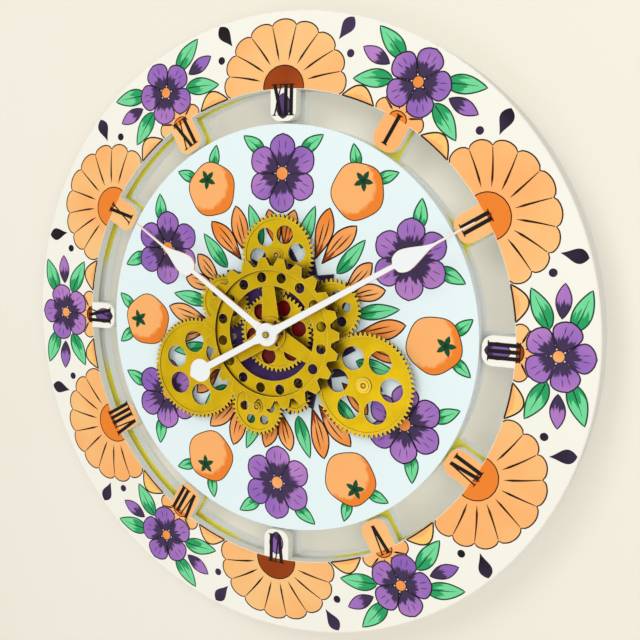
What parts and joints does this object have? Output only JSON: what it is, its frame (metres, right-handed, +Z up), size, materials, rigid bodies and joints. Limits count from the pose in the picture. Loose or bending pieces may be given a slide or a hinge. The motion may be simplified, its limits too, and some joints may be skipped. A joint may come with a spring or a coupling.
{
  "type": "round wall clock",
  "caption": "Round wall clock with a windowed numeral ring, a dial disc, an open train of meshing gears on its face and leaf-shaped hands.",
  "frame": {"origin": "middle of the hanger hole, on the wall side of the hanger plate", "axes": "+Z up, +Y into the wall, +X to the right as seen from the front"},
  "size_m": [0.5999, 0.0635, 0.6],
  "materials": {
    "printed_panel": "printed gloss face on MDF",
    "printed_dial": "printed gloss face on MDF",
    "pale_panel": "painted MDF",
    "white_band": "satin edge band",
    "gold_gear": "satin gold",
    "gold_ring": "satin gold, a little darker",
    "red_gear": "satin",
    "purple_plate": "satin",
    "brass": "polished",
    "white_hand": "satin white",
    "steel": "zinc plated",
    "black_plastic": "fine texture",
    "white_plastic": "fine texture",
    "cell_jacket": "satin",
    "lead_jacket": "smooth",
    "rubber": "matt"
  },
  "bodies": {
    "clock_body": {"front_ring": "printed_panel", "dial_disc": "printed_dial", "rear_panel": "pale_panel", "rim_band": "white_band", "ring_spacers": "pale_panel", "disc_spacers": "pale_panel", "ring_screws": "steel", "disc_screws": "steel", "gear_base_plate": "purple_plate", "base_plate_screws": "steel", "centre_sleeve": "steel", "sleeve_washer": "steel", "bush_nut": "brass", "gear_posts": "brass", "post_nuts": "steel", "axle_caps": "brass", "threaded_bush": "brass", "movement_gasket": "rubber", "movement_case": "black_plastic", "clock_cell": "cell_jacket", "clock_contacts": "steel", "motor_case": "white_plastic", "motor_cover": "white_plastic", "motor_screws": "steel", "cell_holder": "black_plastic", "gear_cells": "cell_jacket", "holder_contacts": "steel", "holder_screws": "steel", "motor_leads": "lead_jacket", "hanger_plate": "steel", "hanger_screws": "steel", "wall_bumpers": "rubber"},
    "gear_wheel": {"centre_gear": "gold_gear", "red_drive_gear": "red_gear", "ring_gear": "gold_ring", "wheel_hub": "gold_ring", "hub_screws": "steel"},
    "top_gear": {"top_gear": "gold_gear"},
    "right_gear": {"right_gear": "gold_gear"},
    "lower_right_gear": {"lower_right_gear": "gold_gear"},
    "left_gear": {"left_gear": "gold_gear"},
    "lower_left_gear": {"lower_left_gear": "gold_gear"},
    "bottom_gear": {"bottom_gear": "gold_gear"},
    "bottom_pinion": {"bottom_pinion": "gold_gear"},
    "motor_output": {"motor_shaft": "steel", "motor_pinion": "brass"},
    "minute": {"minute_hand": "white_hand", "minute_shaft": "brass", "hand_nut": "brass", "setting_knob": "black_plastic"},
    "hour": {"hour_hand": "white_hand", "hour_tube": "brass"},
    "switch": {"gear_switch": "black_plastic"}
  },
  "joints": [
    {"name": "wheel_turn", "type": "hinge", "parent": "clock_body", "child": "gear_wheel", "pos_m": [0, -0.0366, -0.264], "axis": [0, 1, 0], "continuous": true},
    {"name": "top_turn", "type": "hinge", "parent": "clock_body", "child": "top_gear", "pos_m": [0, -0.0366, -0.18975], "axis": [0, 1, 0], "continuous": true},
    {"name": "right_turn", "type": "hinge", "parent": "clock_body", "child": "right_gear", "pos_m": [0.05906, -0.0366, -0.23807], "axis": [0, 1, 0], "continuous": true},
    {"name": "lower_right_turn", "type": "hinge", "parent": "clock_body", "child": "lower_right_gear", "pos_m": [0.09286, -0.0366, -0.30587], "axis": [0, 1, 0], "continuous": true},
    {"name": "left_turn", "type": "hinge", "parent": "clock_body", "child": "left_gear", "pos_m": [-0.0576, -0.0366, -0.23848], "axis": [0, 1, 0], "continuous": true},
    {"name": "lower_left_turn", "type": "hinge", "parent": "clock_body", "child": "lower_left_gear", "pos_m": [-0.08901, -0.0366, -0.30741], "axis": [0, 1, 0], "continuous": true},
    {"name": "bottom_turn", "type": "hinge", "parent": "clock_body", "child": "bottom_gear", "pos_m": [-0.01934, -0.0366, -0.33901], "axis": [0, 1, 0], "continuous": true},
    {"name": "bottom_pinion_turn", "type": "hinge", "parent": "clock_body", "child": "bottom_pinion", "pos_m": [0.02085, -0.0366, -0.32446], "axis": [0, 1, 0], "continuous": true},
    {"name": "motor_turn", "type": "hinge", "parent": "clock_body", "child": "motor_output", "pos_m": [0.05025, -0.0366, -0.264], "axis": [0, 1, 0], "continuous": true},
    {"name": "minute_turn", "type": "hinge", "parent": "clock_body", "child": "minute", "pos_m": [0, -0.0366, -0.264], "axis": [0, 1, 0], "continuous": true},
    {"name": "hour_turn", "type": "hinge", "parent": "clock_body", "child": "hour", "pos_m": [0, -0.0366, -0.264], "axis": [0, 1, 0], "continuous": true},
    {"name": "switch_slide", "type": "slide", "parent": "clock_body", "child": "switch", "axis": [1, 0, 0], "range_m": [0, 0.004]}
  ],
  "couplings": [
    {"joint": "top_turn", "follows": "wheel_turn", "ratio": -0.98},
    {"joint": "right_turn", "follows": "wheel_turn", "ratio": -1.3243},
    {"joint": "lower_right_turn", "follows": "wheel_turn", "ratio": 0.76562},
    {"joint": "left_turn", "follows": "wheel_turn", "ratio": -1.4},
    {"joint": "lower_left_turn", "follows": "wheel_turn", "ratio": 0.74242},
    {"joint": "bottom_turn", "follows": "wheel_turn", "ratio": -1.3611},
    {"joint": "bottom_pinion_turn", "follows": "wheel_turn", "ratio": 2.3333},
    {"joint": "motor_turn", "follows": "wheel_turn", "ratio": -2.7222},
    {"joint": "hour_turn", "follows": "minute_turn", "ratio": 0.083333}
  ]
}
